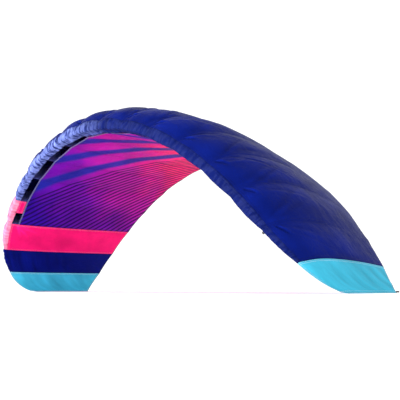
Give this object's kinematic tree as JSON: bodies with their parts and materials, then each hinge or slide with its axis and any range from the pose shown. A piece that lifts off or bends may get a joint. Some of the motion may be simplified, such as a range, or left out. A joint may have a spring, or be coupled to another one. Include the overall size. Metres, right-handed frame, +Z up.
{
  "type": "foil kite",
  "caption": "Ram-air foil kite standing on its wing tips: an arched cloth wing with air intakes behind the leading edge, a printed underside and bright tips.",
  "frame": {"origin": "on the ground, in the middle of the box that holds the standing wing", "axes": "+X along the span towards the right tip, the leading edge faces -Y, +Z up"},
  "size_m": [1.8156, 0.8618, 0.73],
  "materials": {
    "cloth_blue": "coated ripstop polyester, soft sheen",
    "cloth_cyan": "coated ripstop polyester, soft sheen",
    "cloth_print": "coated ripstop polyester with a dyed pattern",
    "cloth_pink": "coated ripstop polyester, soft sheen",
    "cloth_navy": "coated ripstop polyester, soft sheen",
    "cloth_band": "thin wrinkled ripstop, bleached by the light",
    "cloth_band_pink": "thin wrinkled ripstop, bleached by the light",
    "cloth_rib": "stiff uncoated ripstop",
    "tape_grey": "woven seam tape",
    "tape_black": "woven webbing, matt"
  },
  "bodies": {
    "root": {"skin_upper_blue": "cloth_blue", "skin_lower_print": "cloth_print", "nose_band_blue": "cloth_band", "nose_band_pink_left": "cloth_band_pink", "nose_band_navy_left": "cloth_navy", "skin_upper_tip_right": "cloth_cyan", "skin_upper_tip_left": "cloth_cyan", "skin_lower_tip_right": "cloth_cyan", "skin_lower_tip_left": "cloth_cyan", "skin_lower_pink_right": "cloth_pink", "skin_lower_pink_left": "cloth_pink", "skin_lower_navy_right": "cloth_navy", "skin_lower_navy_left": "cloth_navy", "mouth_panel_pink_right": "cloth_pink", "mouth_panel_pink_left": "cloth_pink", "lip_tape": "tape_grey", "rib_right_1": "cloth_rib", "rib_right_2": "cloth_rib", "rib_right_3": "cloth_rib", "rib_right_4": "cloth_rib", "rib_right_5": "cloth_rib", "rib_right_6": "cloth_rib", "rib_right_7": "cloth_rib", "rib_right_8": "cloth_rib", "rib_left_1": "cloth_rib", "rib_left_2": "cloth_rib", "rib_left_3": "cloth_rib", "rib_left_4": "cloth_rib", "rib_left_5": "cloth_rib", "rib_left_6": "cloth_rib", "rib_left_7": "cloth_rib", "rib_left_8": "cloth_rib", "nose_tab": "tape_black", "tip_loop": "tape_black"}
  },
  "joints": []
}
